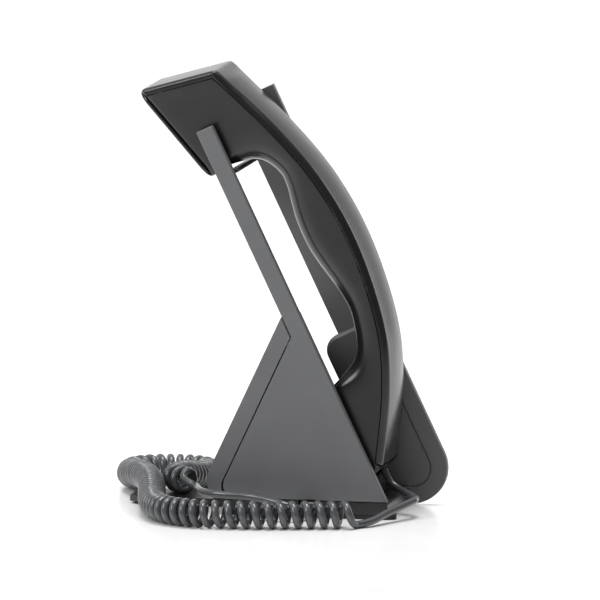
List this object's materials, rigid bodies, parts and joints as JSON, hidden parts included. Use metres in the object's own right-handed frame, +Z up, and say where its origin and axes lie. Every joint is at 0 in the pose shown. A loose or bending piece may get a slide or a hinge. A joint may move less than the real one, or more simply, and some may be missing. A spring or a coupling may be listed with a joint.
{
  "type": "corded telephone handset on desk stand",
  "caption": "Slim telephone handset leaning in a two-sided triangular desk stand, with a curly cord lying beside and behind it.",
  "frame": {"origin": "on the desk, under the middle of the box around stand and handset, cord left out", "axes": "+X from the heel of the stand to its toe, +Y from the near side to the far side, +Z up"},
  "size_m": [0.1683, 0.1566, 0.2121],
  "materials": {
    "stand_charcoal": "satin",
    "trim_grey": "satin",
    "stand_black": "satin",
    "handset_front": "satin",
    "handset_back": "semi-gloss",
    "soft_rubber": "matt",
    "cord_grey": "semi-gloss",
    "plug_clear": "gloss",
    "socket_black": "matt",
    "steel": "satin",
    "board_green": "satin",
    "capsule_metal": "satin"
  },
  "bodies": {
    "stand": {"ballast_weight": "steel", "base_plate": "stand_black", "base_screws": "steel", "cord_coil": "cord_grey", "cord_jack": "socket_black", "cord_lead_base": "cord_grey", "cord_lead_handset": "cord_grey", "cradle_housing": "stand_black", "cradle_rest": "stand_black", "far_inset_panel": "stand_charcoal", "far_side_plate": "stand_charcoal", "far_trim_band": "trim_grey", "hook_spring": "steel", "hook_switch": "socket_black", "line_jack": "socket_black", "main_pcb": "board_green", "mouthpiece_cheek": "stand_charcoal", "near_side_panel": "stand_charcoal", "pcb_standoffs": "capsule_metal", "plug_base": "plug_clear", "rear_cover": "stand_charcoal", "rubber_feet": "soft_rubber", "upper_cradle_bar": "stand_black"},
    "handset": {"handset_front_shell": "handset_front", "handset_back_shell": "handset_back", "ear_cap": "handset_front", "mouth_cap": "handset_front", "receiver_gasket": "soft_rubber", "receiver_capsule": "capsule_metal", "microphone_boot": "soft_rubber", "microphone_capsule": "capsule_metal", "handset_weight": "steel", "handset_socket": "socket_black", "handset_screws": "steel", "plug_handset": "plug_clear"},
    "plunger": {"hook_plunger": "socket_black"}
  },
  "joints": [
    {"name": "handset_lift", "type": "slide", "parent": "stand", "child": "handset", "axis": [0.9026, 0, 0.4305], "range_m": [0, 0.06]},
    {"name": "hook_plunger_slide", "type": "slide", "parent": "stand", "child": "plunger", "axis": [0.9026, 0, 0.4305], "range_m": [0, 0.003]}
  ],
  "couplings": [
    {"joint": "hook_plunger_slide", "follows": "handset_lift", "ratio": 0.05}
  ]
}
